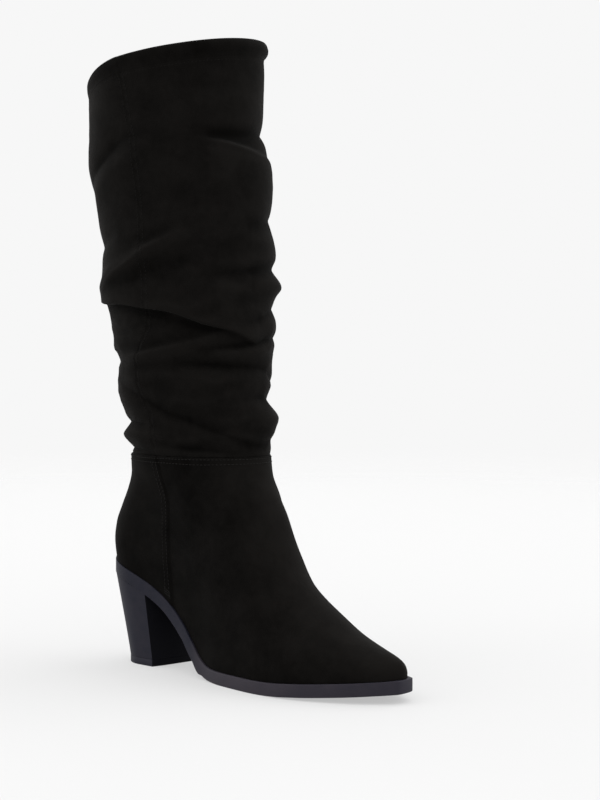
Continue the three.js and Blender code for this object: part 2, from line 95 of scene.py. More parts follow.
# %% Tables and curves
def table(names, *rows):
    """Rows of numbers, kept as named columns."""
    return dict(zip(names.split(), np.array(rows, float).T))


def curve(columns, across, up):
    """A smooth curve through a table's rows that never swings past them."""
    x, y = columns[across], columns[up]
    if x[0] > x[-1]:
        x, y = x[::-1], y[::-1]
    width = np.diff(x)
    slope = np.diff(y) / width
    before, after = width[1:] * 2 + width[:-1], width[1:] + width[:-1] * 2
    level = slope[:-1] * slope[1:] <= 0
    left, right = np.where(level, 1, slope[:-1]), np.where(level, 1, slope[1:])
    inner = np.where(level, 0, (before + after) / (before / left + after / right))
    tangent = np.concatenate([slope[:1], inner, slope[-1:]])

    def read(value):
        place = np.clip(value, x[0], x[-1])
        i = np.clip(np.searchsorted(x, place) - 1, 0, len(width) - 1)
        t = (place - x[i]) / width[i]
        ease = t * t * (3 - 2 * t)
        leave = t * (1 - t) ** 2 * width[i] * tangent[i]
        arrive = t * t * (t - 1) * width[i] * tangent[i + 1]
        return y[i] + (y[i + 1] - y[i]) * ease + leave + arrive

    return read


def mix(a, b, share):
    return a + (b - a) * share


def rounding(share, power=2):
    """Share of the full width that a rounded end has at a share of its depth."""
    return (1 - (1 - np.clip(share, 0, 1)) ** power) ** (1 / power)


# %% [markdown]
# Most pieces of a boot are skins: rings of points, one above the other, with faces between them. A skin
# that wraps joins its last ring to its first, so an upper with an outer and an inner face is one closed
# wall. A flat piece, such as a sole, has its end rings closed straight across.

# %% Skins
def skin(name, rings, wrapped=True):
    """A closed mesh from rings of points that run round clockwise, seen from above."""
    count = len(rings[0])
    points = np.concatenate(rings)
    bands = len(rings) if wrapped else len(rings) - 1
    low = (np.arange(bands) * count)[:, None] + np.arange(count)
    high = (low // count + 1) % len(rings) * count + low % count
    turn = np.roll(np.arange(count), -1)
    faces = np.stack([low, high, high[:, turn], low[:, turn]], -1).reshape(-1, 4).tolist()
    if not wrapped:
        top = (len(rings) - 1) * count
        for i in range((count - 1) // 2):
            across = count - 1 - i
            pair = (i, i + 1, across - 1, across) if across - 1 > i + 1 else (i, i + 1, across)
            faces.append(pair)
            faces.append(tuple(top + k for k in reversed(pair)))
    mesh = bpy.data.meshes.new(name)
    mesh.from_pydata(points.tolist(), [], faces)
    mesh.validate()
    mesh.shade_smooth()
    mesh.set_sharp_from_angle(angle=math.radians(50))
    piece = bpy.data.objects.new(name, mesh)
    bpy.context.scene.collection.objects.link(piece)
    return piece


def keep(piece, name, values):
    """Keeps one number for each point, which the finishes read."""
    piece.data.attributes.new(name, "FLOAT", "POINT").data.foreach_set("value", values.astype(np.float32))


def dress(piece, material, slot, *nodes):
    """Gives a piece its finish, lets it ride with the boot and stand for the nodes that it replaces."""
    if material:
        piece.data.materials.append(material)
    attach(piece, "root")
    if nodes:
        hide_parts(*nodes)
    low, high = np.array(piece.bound_box).min(0), np.array(piece.bound_box).max(0)
    sizes = " x ".join(f"{value / MM:.0f}" for value in high - low)
    print(f"{piece.name}: {sizes} mm, {sum(len(p.vertices) - 2 for p in piece.data.polygons)} triangles")
    return piece


# %% [markdown]
# Node materials turn into long lists of links when each node is wired by hand. Here a small class wraps
# a socket, so that plain Python sums add the Math nodes, and one method adds any other node.

# %% Shader maths
class Value:
    """A socket that sums can be done with."""

    def __init__(self, finish, socket):
        self.finish, self.socket = finish, socket

    def sum(self, operation, a, b):
        return self.finish.node("ShaderNodeMath", {"operation": operation}, {0: a, 1: b})[0]

    def __add__(self, other):
        return self.sum("ADD", self, other)

    def __radd__(self, other):
        return self.sum("ADD", other, self)

    def __sub__(self, other):
        return self.sum("SUBTRACT", self, other)

    def __rsub__(self, other):
        return self.sum("SUBTRACT", other, self)

    def __mul__(self, other):
        return self.sum("MULTIPLY", self, other)

    def __rmul__(self, other):
        return self.sum("MULTIPLY", other, self)


class Added:
    """A node that was added; its outputs are read by name or number."""

    def __init__(self, finish, node):
        self.finish, self.made = finish, node

    def __getitem__(self, output):
        return Value(self.finish, self.made.outputs[output])


class Finish:
    """A material in the making."""

    def __init__(self, name):
        self.material = bpy.data.materials.new(name)
        self.material.use_nodes = True
        self.tree = self.material.node_tree
        self.tree.nodes.clear()

    def node(self, kind, settings=None, inputs=None):
        """Adds a node: its settings first, and then the values or links of its sockets."""
        node = self.tree.nodes.new(kind)
        for key, value in (settings or {}).items():
            setattr(node, key, value)
        for key, value in (inputs or {}).items():
            if isinstance(value, Value):
                self.tree.links.new(value.socket, node.inputs[key])
            else:
                node.inputs[key].default_value = value
        return Added(self, node)

    def noise(self, size, detail=2.0, roughness=0.5, place=None):
        """Cloudy noise, from 0 to 1, whose patches are about size across."""
        place = place or self.node("ShaderNodeTexCoord")["Object"]
        inputs = {"Vector": place, "Scale": 1 / size, "Detail": detail, "Roughness": roughness}
        return self.node("ShaderNodeTexNoise", None, inputs)[0]

    def blend(self, share, low, high):
        """A colour between two colours."""
        inputs = {0: share, 6: (*low, 1), 7: (*high, 1)}
        settings = {"data_type": "RGBA", "clamp_factor": True}
        return self.node("ShaderNodeMix", settings, inputs)[2]

    def bump(self, height, depth, strength=1.0):
        inputs = {"Height": height, "Distance": depth, "Strength": strength}
        return self.node("ShaderNodeBump", None, inputs)["Normal"]

    def surface(self, **sockets):
        """Ends the material in one Principled surface."""
        inputs = {key.replace("_", " "): value for key, value in sockets.items()}
        shader = self.node("ShaderNodeBsdfPrincipled", None, inputs)
        self.node("ShaderNodeOutputMaterial", None, {"Surface": shader[0]})
        return self.material


# %% [markdown]
# Suede is the flesh side of a hide, sanded to a nap. Its own colour is nearly black, and it has no
# gloss. What draws its shape is the nap itself: short fibres that catch the light where the surface
# turns away, which a sheen layer gives. The nap lies in patches that are a little lighter or darker,
# and the fibres are felt as a very fine grain. Light and shade are also painted into the colour: a
# painted highlight on crests and on the ridge of the instep, and painted shade in creases.

# %% Suede
def suede(name, dark, light, sheen):
    finish = Finish(name)
    patches = finish.noise(26 * MM, 3, 0.6)
    mottle = finish.noise(5 * MM, 3, 0.6)
    fibre = finish.noise(0.55 * MM, 2, 0.7)
    # Painted light and shade: crests and the instep's ridge lighter, creases darker, as the light falls.
    painted_light_and_shade = finish.node("ShaderNodeAttribute", {"attribute_name": "painted_light_and_shade"})["Fac"]
    tone_and_painted_light = 1.5 * patches + 0.5 * mottle + 0.5 * fibre + 0.45 * painted_light_and_shade - 0.8
    height = 0.55 * fibre + 0.45 * finish.noise(1.6 * MM, 2, 0.6)
    return finish.surface(
        Base_Color=finish.blend(tone_and_painted_light, dark, light),
        Roughness=0.95,
        Specular_IOR_Level=0.03,
        Sheen_Weight=sheen,
        Sheen_Roughness=0.36,
        Sheen_Tint=(0.9, 0.88, 0.86, 1),
        Normal=finish.bump(height, 0.22 * MM, 0.8),
    )


black_suede = suede("black_suede", (0.0017, 0.0015, 0.0013), (0.0060, 0.0054, 0.0049), 0.03)

# %% [markdown]
# The sole's edge and the heel are trimmed, sanded and inked in a dark blue-grey, and then waxed. That
# leaves a satin face with very faint lines along the sole, from the sanding, and soft uneven patches in
# the wax. The ink is darker on the heel, and darker along the arch as painted shade; each piece keeps a
# number for that, its shade. The heel's breast, the face towards the toe, gets a dark ink that paints
# the shade under the arch. Lining and thread are plainer: they have neither wax nor nap.

# %% Inked edge, lining and thread
def inked(name, dark, light, roughness, gloss):
    """Ink under wax, which is darker and duller where the piece's shade is high."""
    finish = Finish(name)
    place = finish.node("ShaderNodeTexCoord")["Object"]
    stretch = finish.node("ShaderNodeMapping", None, {"Vector": place, "Scale": (0.06, 0.06, 1)})["Vector"]
    lines = finish.noise(0.35 * MM, 2, 0.5, stretch)
    wax = finish.noise(9 * MM, 3, 0.55)
    shade = finish.node("ShaderNodeAttribute", {"attribute_name": "shade"})["Fac"]
    return finish.surface(
        Base_Color=finish.blend(0.35 + 0.4 * wax + 0.3 * lines - shade, dark, light),
        Roughness=roughness + 0.16 * wax + 0.06 * lines + 0.1 * shade,
        Specular_IOR_Level=gloss,
        Normal=finish.bump(0.6 * lines + 0.4 * wax, 0.05 * MM, 0.7),
    )


def plain(name, dark, light, roughness, grain, depth, gloss):
    """A matt moulded or woven finish with a fine grain."""
    finish = Finish(name)
    cloud = finish.noise(12 * MM, 3)
    fine = finish.noise(grain, 2, 0.6)
    return finish.surface(
        Base_Color=finish.blend(0.5 * cloud + 0.5 * fine, dark, light),
        Roughness=roughness + 0.1 * cloud,
        Specular_IOR_Level=gloss,
        Normal=finish.bump(fine, depth, 0.8),
    )


edge_ink = inked("edge_ink", (0.0030, 0.0045, 0.0115), (0.0370, 0.0315, 0.0385), 0.42, 0.12)
breast_painted_shade = inked("breast_painted_shade", (0.0035, 0.0035, 0.0048), (0.0070, 0.0070, 0.0090), 0.6, 0.04)
lining_leather = plain(
    "lining_leather", (0.0080, 0.0070, 0.0060), (0.0180, 0.0150, 0.0130),
    roughness=0.6, grain=0.6 * MM, depth=0.10 * MM, gloss=0.3,
)
foot_thread = plain(
    "foot_thread", (0.0060, 0.0056, 0.0052), (0.0125, 0.0116, 0.0108),
    roughness=0.7, grain=0.3 * MM, depth=0.05 * MM, gloss=0.1,
)
shaft_thread = plain(
    "shaft_thread", (0.0042, 0.0039, 0.0036), (0.0092, 0.0085, 0.0080),
    roughness=0.8, grain=0.3 * MM, depth=0.05 * MM, gloss=0.05,
)
made = (black_suede, edge_ink, breast_painted_shade, lining_leather, foot_thread, shaft_thread)
print("finishes:", ", ".join(f"{finish.name} of {len(finish.node_tree.nodes)} nodes" for finish in made))

# %% [markdown]
# The sole is one thin slab. Its outline runs from the round seat through a narrow waist to the ball and
# the snipped toe, and it swings a little to the inner side. In profile it climbs from the forefoot to
# the seat over the heel, and the toe springs up a few millimetres off the floor.

# %% The last's own lines
PLAN = table(
    "at seat ball snip swing",
    (0.00, 1.00, 0.00, 0, 0.00),
    (0.12, 0.98, 0.00, 0, 0.00),
    (0.24, 0.54, 0.25, 0, -0.16),
    (0.34, 0.20, 0.50, 0, -0.43),
    (0.44, 0.00, 0.74, 0, -0.64),
    (0.54, 0.00, 0.90, 0, -0.37),
    (0.65, 0.00, 1.00, 0, -0.05),
    (0.71, 0.00, 1.00, 0, 0.08),
    (0.76, 0.00, 0.95, 0, 0.19),
    (0.85, 0.00, 0.77, 0, 0.53),
    (0.93, 0.00, 0.50, 0, 0.70),
    (0.97, 0.00, 0.24, 0.5, 0.82),
    (1.00, 0.00, 0.00, 1, 1.00),
)
PROFILE = table(
    "at rise spring",
    (-0.01, 1.000, 0.00),
    (0.03, 0.950, 0.00),
    (0.12, 0.843, 0.00),
    (0.20, 0.720, 0.00),
    (0.258, 0.598, 0.00),
    (0.329, 0.382, 0.00),
    (0.373, 0.206, 0.00),
    (0.410, 0.066, 0.00),
    (0.450, 0.010, 0.00),
    (0.50, 0.000, 0.00),
    (0.65, 0.000, 0.00),
    (0.76, 0.000, 0.24),
    (0.85, 0.000, 0.50),
    (0.93, 0.000, 0.75),
    (1.01, 0.000, 1.00),
)
plan = {name: curve(PLAN, "at", name) for name in PLAN}
profile = {name: curve(PROFILE, "at", name) for name in PROFILE}


def along(x):
    return (x - seat_back) / sole_length


def sole_half(x):
    at = along(x)
    return (plan["seat"](at) * seat_width + plan["ball"](at) * ball_width + plan["snip"](at) * snip_width) / 2


def sole_middle(x):
    return plan["swing"](along(x)) * toe_swing


def sole_top(x):
    at = along(x)
    return sole_edge + (seat_height - sole_edge) * profile["rise"](at) + toe_spring * profile["spring"](at)


def sole_slant(x):
    """Length of the sole's slope over a step of 1 along x."""
    step = 0.5 * MM
    return np.hypot(1, (sole_top(x + step) - sole_top(x - step)) / (2 * step))


def sole_bottom(x):
    return sole_top(x) - sole_edge * sole_slant(x)


def sole_rest(x):
    """Height that a piece on the sole keeps to."""
    return sole_top(x) + gap * sole_slant(x)


def outline_half(x, inset):
    """Half width of the sole with its rounded seat and the soft corners of its snipped toe."""
    back = seat_back + inset
    corner = rounding((toe_tip - inset - x) / (1.6 * MM), 2.6)
    return (sole_half(x) - inset) * rounding((x - back) / (seat_width / 2 - inset)) * corner


widths = [2 * float(sole_half(mix(seat_back, toe_tip, at))) / MM for at in (0.10, 0.33, 0.68)]
print("seat, waist and ball, mm:", [round(width, 1) for width in widths])

# %% [markdown]
# A flat piece is described by stations from its front to its back. At each one there is a point on the
# outer side and one on the inner side, so the ring runs down one side and comes up the other. The slab's
# lower edge is rounded, but stays nearly sharp on the heel, where the two meet. Its edge is painted
# darker as it climbs off the floor into the arch: painted shade, for the shadow under the arch.

# %% The sole
ARCH_PAINTED_SHADE, SHADE_CLIMB, SOLE_STATIONS = 0.5, 14 * MM, 180


def paired_ring(x, middle, half, z):
    outer = np.stack([x, middle - half, z], -1)
    inner = np.stack([x, middle + half, z], -1)
    return np.concatenate([outer, inner[-2::-1]])


def stations(front, back, count):
    """Places along a piece, closer together at its two ends."""
    return mix(front, back, (1 - np.cos(np.pi * np.arange(count + 1) / count)) / 2)


def sole_ring(inset, height):
    x = stations(toe_tip - inset, seat_back + inset, SOLE_STATIONS)
    return paired_ring(x, sole_middle(x), outline_half(x, inset), height(x))


def outsole():
    bevel, sharp, soft, tuck = 0.9 * MM, 0.15 * MM, 0.5 * MM, 0.9

    def lower_edge(x):
        clear_of_heel = np.clip((x - tread_length / 2) / (12 * MM), 0, 1)
        return sole_bottom(x) + mix(sharp, bevel, clear_of_heel) * (1 - np.cos(turn))

    def upper_edge(x):
        return sole_top(x) - soft * (1 - np.sin(turn))

    rings = []
    for turn in np.linspace(0, np.pi / 2, 5):
        rings.append(sole_ring(bevel * (1 - np.sin(turn)) * tuck, lower_edge))
    for turn in np.linspace(0, np.pi / 2, 4):
        rings.append(sole_ring(soft * (1 - np.cos(turn)), upper_edge))
    return skin("outsole_slab", rings, wrapped=False)


slab = dress(outsole(), edge_ink, "sole_edge", "outsole")
places = np.array([vertex.co for vertex in slab.data.vertices])
# Painted shade: the edge ink turns darker as the sole climbs into the arch.
keep(slab, "shade", ARCH_PAINTED_SHADE * np.clip(sole_bottom(places[:, 0]) / SHADE_CLIMB, 0, 1))

# %% [markdown]
# A block heel is a stack or a moulded core with a cover. It narrows from the seat to the tread, its back
# is round like the seat, and its breast is flat and slants to the inner side. A top piece of rubber
# under it takes the wear. Both are drawn from one rule for a level of the heel. The faces that look
# towards the toe get a dark ink: painted shade, for the shadow under the arch.

# %% The heel and its top piece
HEEL_SHADE, BREAST_TURN, HEEL_STATIONS, HEEL_LEVELS = 0.45, 0.6, 48, 31
heel_bow, breast_corner = 1.1, 0.9 * MM


def heel_ring(share, height, inset=0.0):
    """A level of the heel: 0 at the tread, 1 under the sole. Its breast slants to the inner side."""
    front = tread_length / 2 - inset
    back = mix(-tread_length / 2, seat_back + heel_inset, share ** heel_bow) + inset
    station = mix(back, front, 1 - np.cos(np.pi / 2 * (1 - np.arange(HEEL_STATIONS + 1) / HEEL_STATIONS)))

    def half_at(x):
        tread = (tread_width / 2 - inset) * rounding((x - back) / (tread_width / 2 - inset))
        seat = (sole_half(x) - heel_inset - inset) * rounding((x - back) / (seat_width / 2 - inset))
        return mix(tread, seat, share) * rounding((front - station) / breast_corner + 0.12, 2.5)

    slant = breast_slant * (station - back) / (front - back)
    sides = []
    for side in (-1, 1):
        x = station + side * slant * half_at(station)
        sides.append(np.stack([x, side * half_at(x), height(x)], -1))
    sides[0][-1, 1] = 0
    return np.concatenate([sides[0], sides[1][-2::-1]])


def heel_block():
    floor = tip_thickness + 0.08 * MM
    rings = [heel_ring(0, lambda x: floor + 0 * x, 0.1 * MM)]
    for share in np.linspace(0, 1, HEEL_LEVELS):
        rings.append(heel_ring(share, lambda x: mix(floor + 0.1 * MM, sole_bottom(x) - 0.05 * MM, share)))
    return skin("heel_block", rings, wrapped=False)


def top_piece():
    soft, fine = 0.5 * MM, 0.1 * MM
    edges = [(soft, 0), (0.12 * MM, 0.15 * MM), (0, soft), (0, tip_thickness - fine), (fine, tip_thickness)]
    rings = [heel_ring(0, lambda x: level + 0 * x, inset) for inset, level in edges]
    return skin("heel_top_piece", rings, wrapped=False)


for piece, slot, node in ((heel_block(), "sole_edge", "heel"), (top_piece(), "heel_tread", "heel_tip")):
    dress(piece, edge_ink, slot, node)
    # The breast's faces get the dark ink, as painted shade.
    piece.data.materials.append(breast_painted_shade)
    for face in piece.data.polygons:
        face.material_index = int(face.normal.x > BREAST_TURN)
    keep(piece, "shade", np.full(len(piece.data.vertices), HEEL_SHADE))

# %% [markdown]
# The foot of the upper is lasted suede: tight and smooth over the toe and instep, with the quarters
# lapped over the vamp along a seam on each side. Its front line is the instep and its back line is the
# heel's curve. Between them every level is a ring, which turns from the sole's outline at the bottom to
# an oval at the ankle. Two powers say how soon the rings turn level and how soon they turn oval. Across
# the foot the section is an arch, with a power and a slight bulge of its own.

# %% Lines of the foot
FRONT_LINE = table(
    "up out",
    (0.000, 1.000),
    (0.048, 0.988),
    (0.090, 0.925),
    (0.125, 0.796),
    (0.182, 0.635),
    (0.269, 0.484),
    (0.355, 0.360),
    (0.442, 0.264),
    (0.510, 0.223),
    (0.576, 0.196),
    (0.682, 0.157),
    (0.797, 0.090),
    (0.903, 0.020),
    (1.000, 0.000),
    (1.152, -0.037),
    (1.440, -0.137),
    (2.045, -0.303),
    (2.909, -0.676),
    (3.648, -1.340),
)
BACK_LINE = table(
    "up out",
    (0.000, 1.000),
    (0.185, 1.113),
    (0.333, 1.005),
    (0.481, 0.706),
    (0.666, 0.318),
    (0.851, 0.042),
    (1.000, 0.000),
)
SIDE_SEAM = table(
    "up at",
    (0.280, 0.467),
    (0.430, 0.483),
    (0.570, 0.505),
    (0.710, 0.523),
    (0.860, 0.492),
    (1.000, 0.480),
)
front_out, front_up = curve(FRONT_LINE, "up", "out"), curve(FRONT_LINE, "out", "up")
back_out, seam_at = curve(BACK_LINE, "up", "out"), curve(SIDE_SEAM, "up", "at")
upper_back, upper_toe = seat_back + feather, toe_tip - toe_inset
upper_seat, upper_sole = sole_rest(upper_back), sole_rest(upper_toe)
level_power, oval_power, arch_power, arch_bulge = 1.3, 1.4, 2.1, 0.05


def foot_ends(level):
    """Where a level of the foot ends at the back and at the front."""
    return mix(ankle_back, upper_back, back_out(level)), mix(ankle_front, upper_toe, front_out(level))


def foot_point(level, angle, side):
    """A point of the outer face. level: 0 at the sole, 1 at the ankle seam. angle: 0 at the front."""
    level, angle, side = np.broadcast_arrays(level, angle, side)
    back_x, front_x = foot_ends(level)
    back_z, front_z = mix(upper_seat, ankle_height, level), mix(upper_sole, ankle_height, level)
    share = (1 + np.cos(angle)) / 2
    x = mix(back_x, front_x, share)
    floor = sole_rest(x)
    rise = mix(back_z - sole_rest(back_x), front_z - sole_rest(front_x), share)
    z = mix(floor + rise, mix(back_z, front_z, share), level ** level_power)
    ridge = mix(upper_sole, ankle_height, front_up((x - ankle_front) / (upper_toe - ankle_front)))
    climb = np.clip((z - floor) / np.maximum(ridge - floor, 1e-6), 0, 1)
    arch = np.sqrt(1 - climb ** arch_power) * (1 + arch_bulge * np.sin(np.pi * climb))
    nose = rounding((upper_toe - x) / toe_round)
    tail = rounding((x - back_x) / (seat_width / 2))
    section = (sole_half(x) - feather) * arch * nose * tail
    blend = level ** oval_power
    half = mix(section, ankle_width / 2 * np.sin(angle), blend)
    return np.stack([x, sole_middle(x) * (1 - blend) + side * half, z], -1)


def foot_offset(level, angle, side, distance):
    """The same point pushed out of the face. The rims stay level, and the lower one follows the sole."""
    level, angle, side, distance = np.broadcast_arrays(level, angle, side, distance)
    step = 0.01
    above, below = np.minimum(level + step, 1), np.maximum(level - step, 0)
    upward = foot_point(above, angle, side) - foot_point(below, angle, side)

    def turned(amount):
        moved = angle + amount
        over = (moved < 0) | (moved > np.pi)
        folded = np.where(moved < 0, -moved, 2 * np.pi - moved)
        return foot_point(level, np.where(over, folded, moved), np.where(over, -side, side))

    around = (turned(step) - turned(-step)) * -side[..., None]
    normal = np.cross(upward, around)
    normal[..., 2] = np.where((level == 0) | (level == 1), 0, normal[..., 2])
    normal /= np.linalg.norm(normal, axis=-1, keepdims=True)
    point = foot_point(level, angle, side) + normal * distance[..., None]
    point[..., 2] = np.where(level == 0, sole_rest(point[..., 0]), point[..., 2])
    return point


def seam_angle(level):
    """Angle of the side seam on a level, where the quarter's edge steps out over the vamp."""
    seam_x = ankle_back + ankle_length * seam_at(level)
    back_x, front_x = foot_ends(level)
    return np.arccos(2 * (seam_x - back_x) / (front_x - back_x) - 1)


# %% [markdown]
# Lasted suede isn't quite even either. Noise gives it a slow swell of a few tenths of a millimetre.
# The wall of the upper is skinned in rings. Columns of points run up the vamp to the seam, and from the
# seam round the heel, so the step of the quarter's edge falls exactly between two columns. A painted
# highlight runs along the ridge of the instep, where the light catches it, and the rest of the foot is a
# little darker than the shaft. The painted light and shade, which the suede reads, says where.

# %% The foot of the upper
VAMP_COLUMNS, QUARTER_COLUMNS, FOOT_RINGS = 84, 36, 96
RIDGE_HIGHLIGHT, RIDGE_HIGHLIGHT_WIDTH, FOOT_DARKER = 1.5, 0.8, 0.45
FOOT_SWELL = (28, 22, 4.4)


def cloudy(points, across, upward, seed):
    """Noise from about -1 to 1, with one size across the leg and another up it, in millimetres."""
    places = points / (np.array((across, across, upward)) * MM) + seed
    values = [noise.noise(place) for place in places.reshape(-1, 3)]
    return np.array(values).reshape(places.shape[:-1])


def foot_columns(level):
    seam = seam_angle(level)
    half_step = quarter_step / ankle_length
    vamp = (seam - half_step) * np.linspace(0, 1, VAMP_COLUMNS)
    return np.concatenate([vamp, mix(seam + half_step, np.pi, np.linspace(0, 1, QUARTER_COLUMNS))])


def foot_ring(level, distance, step):
    angle = foot_columns(level)
    lift = distance + step * (np.arange(len(angle)) >= VAMP_COLUMNS)
    swell = 0.6 * MM * np.sin(np.pi * level) if distance == 0 else 0

    def half(side):
        clouds = cloudy(foot_point(level, angle, side), *FOOT_SWELL)
        return foot_offset(level, angle, side, lift + swell * clouds)

    return np.concatenate([half(-1), half(1)[-2:0:-1]])


def foot_upper():
    levels = np.linspace(0, 1, FOOT_RINGS + 1) ** 0.9
    edge = [(0.994, 0.0), (1.0, -0.35 * MM), (1.0, -wall + 0.35 * MM), (0.994, -wall)]
    rings = [foot_ring(level, 0.0, quarter_step) for level in levels[:-1]]
    rings += [foot_ring(level, distance, quarter_step * (distance > -wall / 2)) for level, distance in edge]
    rings += [foot_ring(level, -wall, 0.0) for level in levels[-3::-4]]
    rings.append(foot_ring(0.0, -wall, 0.0))
    piece = skin("foot_suede", rings)
    shown = []
    # Painted highlight along the instep's ridge; the rest of the foot is a little darker.
    for level in levels[:-1]:
        ridge_light = RIDGE_HIGHLIGHT * np.exp(-((foot_columns(level) / RIDGE_HIGHLIGHT_WIDTH) ** 2)) - FOOT_DARKER
        shown += [ridge_light, ridge_light[-2:0:-1]]
    shown = np.concatenate(shown)
    painted_light_and_shade = np.zeros(len(piece.data.vertices))
    painted_light_and_shade[:len(shown)] = shown
    keep(piece, "painted_light_and_shade", painted_light_and_shade)
    return piece


dress(foot_upper(), black_suede, "suede", "foot_upper")

# %% [markdown]
# The shaft is the heart of this boot. A soft tube that slides down has to lose height, and it does so in
# folds: rounded ridges that hang over sharp creases. They run slanting round the leg, meet, and fade
# out. Cloth simulation would give folds, but not these ones, so each is given in a table: where
# it starts and ends round the leg, its height at its start, middle and end, how far it stands out, how
# far it reaches above and below, and how far it hangs down. Creases have steeper sides than ridges.

# %% Folds
RUN = table(
    "up grow back wide",
    (0.00, 0.00, 0.000, 0.00),
    (0.042, 0.00, 0.021, 0.12),
    (0.164, 0.05, 0.115, 0.35),
    (0.307, 0.38, 0.303, 0.62),
    (0.439, 0.59, 0.481, 0.80),
    (0.582, 0.71, 0.627, 0.88),
    (0.755, 0.81, 0.878, 0.94),
    (0.929, 0.95, 1.000, 0.99),
    (1.00, 1.00, 1.000, 1.00),
)
FOLDS = table(
    "start stop first middle last out above below hang",
    (-200, -95, 0.796, 0.786, 0.766, 0.045, 0.075, 0.075, 0),
    (-145, -66, 0.710, 0.760, 0.811, -0.030, 0.022, 0.020, 0),
    (-135, -70, 0.674, 0.710, 0.745, 0.020, 0.030, 0.045, 0),
    (-42, 92, 0.762, 0.770, 0.793, -0.076, 0.030, 0.020, 0),
    (-46, 70, 0.776, 0.719, 0.684, 0.046, 0.010, 0.050, 0),
    (-40, 18, 0.768, 0.743, 0.725, 0.016, 0.005, 0.008, 0),
    (-10, 110, 0.643, 0.648, 0.664, 0.050, 0.075, 0.060, 0),
    (-10, 85, 0.552, 0.564, 0.577, -0.040, 0.018, 0.020, 0),
    (-15, 95, 0.490, 0.501, 0.506, 0.048, 0.034, 0.032, 0),
    (-190, -100, 0.567, 0.562, 0.557, -0.050, 0.030, 0.026, 0),
    (-150, -40, 0.444, 0.490, 0.541, 0.036, 0.020, 0.018, 0),
    (-130, -48, 0.437, 0.493, 0.554, 0.018, 0.006, 0.011, 0),
    (-110, -38, 0.434, 0.462, 0.490, -0.030, 0.022, 0.034, 0),
    (-30, 96, 0.460, 0.468, 0.475, 0.030, 0.022, 0.014, 0),
    (-45, 86, 0.441, 0.444, 0.448, -0.034, 0.014, 0.016, 0),
    (-2, 96, 0.414, 0.409, 0.399, 0.120, 0.028, 0.028, 0.006),
    (-20, 100, 0.309, 0.354, 0.373, -0.042, 0.012, 0.016, 0),
    (5, 100, 0.322, 0.312, 0.307, 0.050, 0.032, 0.034, 0),
    (-200, 12, 0.426, 0.390, 0.254, 0.075, 0.085, 0.009, 0.012),
    (-190, 10, 0.388, 0.358, 0.238, -0.008, 0.010, 0.016, 0),
    (-200, -104, 0.305, 0.293, 0.284, 0.012, 0.030, 0.012, 0.006),
    (-200, -98, 0.252, 0.248, 0.246, -0.046, 0.026, 0.016, 0),
    (-128, -22, 0.256, 0.261, 0.303, 0.044, 0.010, 0.026, 0),
    (-55, 62, 0.254, 0.271, 0.292, -0.055, 0.010, 0.012, 0),
    (-50, 50, 0.244, 0.256, 0.269, 0.030, 0.014, 0.018, 0),
    (-74, 66, 0.223, 0.215, 0.144, -0.036, 0.012, 0.016, 0),
    (-112, 20, 0.213, 0.231, 0.197, -0.020, 0.015, 0.022, 0),
    (-200, -92, 0.174, 0.164, 0.159, 0.078, 0.055, 0.052, 0),
    (-130, 40, 0.200, 0.067, 0.001, -0.076, 0.024, 0.018, 0),
    (-20, 96, 0.134, 0.133, 0.131, -0.086, 0.028, 0.018, 0),
    (-205, -92, 0.089, 0.087, 0.085, -0.065, 0.012, 0.012, 0),
    (-12, 98, 0.083, 0.083, 0.083, 0.100, 0.026, 0.034, 0),
    (-218, -74, 0.048, 0.049, 0.056, 0.090, 0.020, 0.020, 0),
    (-58, 40, 0.077, 0.044, 0.054, 0.036, 0.014, 0.014, 0),
    (-5, 92, 0.034, 0.034, 0.032, -0.030, 0.013, 0.014, 0),
    (-105, 5, 0.054, 0.015, 0.006, -0.044, 0.016, 0.012, 0),
    (-205, -95, 0.013, 0.013, 0.015, -0.060, 0.010, 0.010, 0),
    (45, 170, 0.613, 0.664, 0.735, 0.050, 0.036, 0.022, 0),
    (60, 185, 0.577, 0.613, 0.653, -0.045, 0.024, 0.028, 0),
    (50, 190, 0.317, 0.348, 0.419, 0.075, 0.065, 0.014, 0.008),
    (70, 185, 0.256, 0.276, 0.297, 0.038, 0.020, 0.026, 0),
    (55, 175, 0.210, 0.190, 0.205, -0.055, 0.022, 0.022, 0),
    (62, 190, 0.134, 0.144, 0.159, 0.060, 0.032, 0.020, 0),
    (75, 190, 0.083, 0.088, 0.093, -0.050, 0.015, 0.015, 0),
)
BACK_SEAMS = table(
    "up outer inner",
    (0.00, -94.0, 90),
    (0.093, -92.0, 93),
    (0.168, -101.0, 95),
    (0.257, -94.5, 92),
    (0.325, -82.0, 90),
    (0.409, -78.5, 88),
    (0.488, -80.0, 86),
    (0.686, -78.0, 85),
    (0.789, -79.5, 86),
    (0.891, -82.5, 88),
    (1.00, -88.0, 90),
)
run = {name: curve(RUN, "up", name) for name in RUN}
seams = {name: curve(BACK_SEAMS, "up", name) for name in BACK_SEAMS}
ridge_power, crease_power, fade_power = 2, 1.4, 2.5
print(len(FOLDS["out"]), "folds, from", FOLDS["out"].min(), "to", FOLDS["out"].max(), "of a half width out")


def fold_depth(level, degrees):
    """How far the folds move the wall out and let it hang down, as two shares."""
    depth, drop = np.zeros((2, *np.broadcast(level, degrees).shape))
    for row in zip(*FOLDS.values()):
        fold = dict(zip(FOLDS, row))
        for turn in (-360, 0, 360):
            q = (degrees + turn - fold["start"]) / (fold["stop"] - fold["start"])
            inside = (q > 0) & (q < 1)
            q = np.clip(q, 0, 1)
            first, last = fold["first"] * (1 - q) * (1 - 2 * q), fold["last"] * q * (1 - 2 * q)
            away = level - (first + 4 * fold["middle"] * q * (1 - q) - last)
            reach = np.where(away > 0, fold["above"], fold["below"])
            power = ridge_power if fold["out"] > 0 else crease_power
            shape = inside * (1 - np.abs(2 * q - 1) ** fade_power) * np.exp(-np.abs(away / reach) ** power)
            depth += fold["out"] * shape
            drop += fold["hang"] * shape
    return depth, drop


